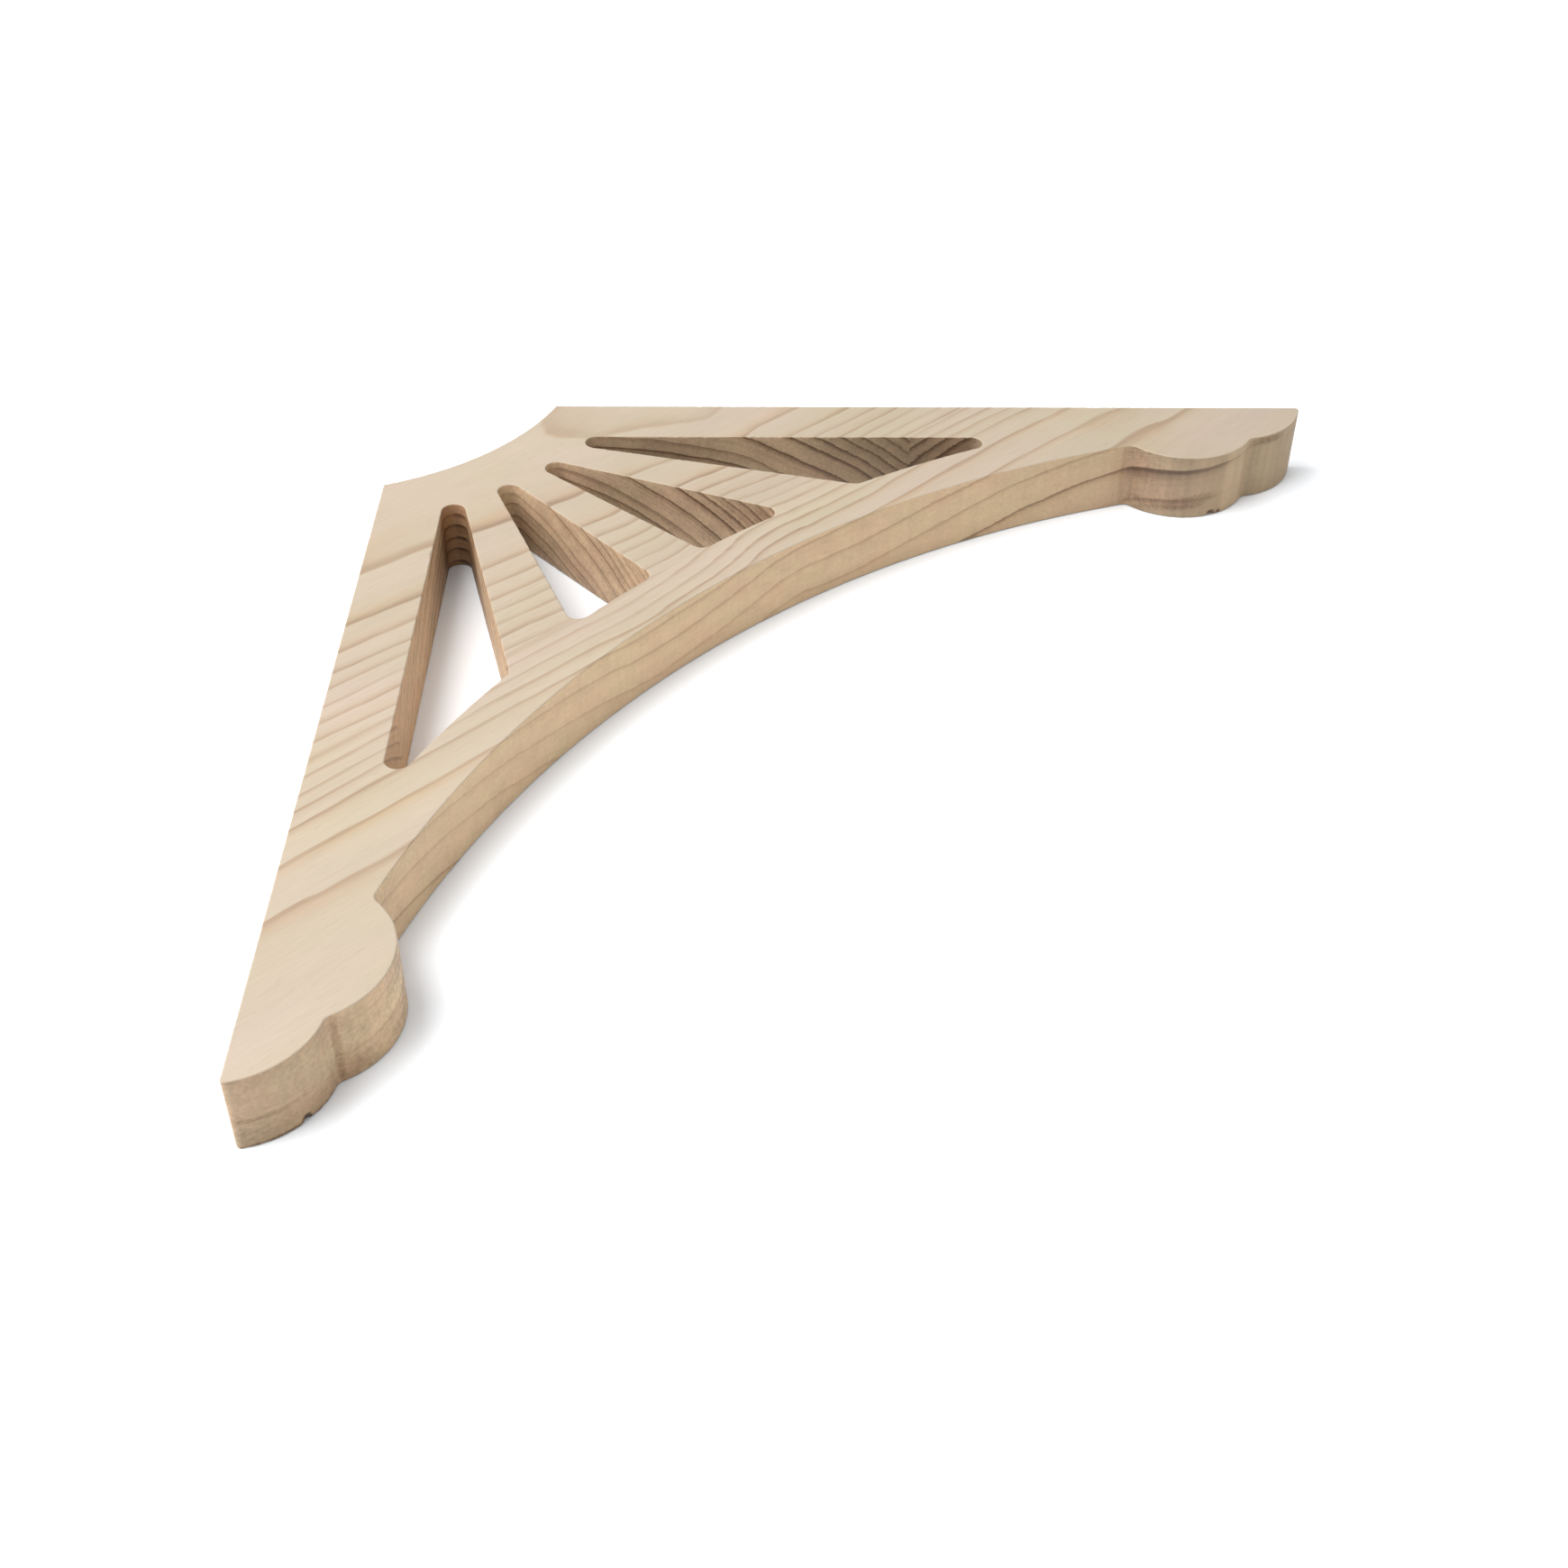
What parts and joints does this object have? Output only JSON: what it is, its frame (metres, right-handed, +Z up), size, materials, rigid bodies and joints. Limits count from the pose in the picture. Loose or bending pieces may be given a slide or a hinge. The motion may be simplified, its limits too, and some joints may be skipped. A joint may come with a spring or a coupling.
{
  "type": "fretwork corner bracket",
  "caption": "Flat pine fretwork bracket that fills the corner between a post and a beam, with slots fanned from a hollowed outer corner and lobed leg ends.",
  "frame": {"origin": "centre of the board's square outline, on its underside", "axes": "+Z up through the board's thickness, +Y square to the edge that meets the beam, -X square to the edge that meets the post"},
  "size_m": [0.3999, 0.3999, 0.03],
  "materials": {
    "pine": "bare planed pine"
  },
  "bodies": {
    "root": {"fretwork_bracket": "pine"}
  },
  "joints": []
}
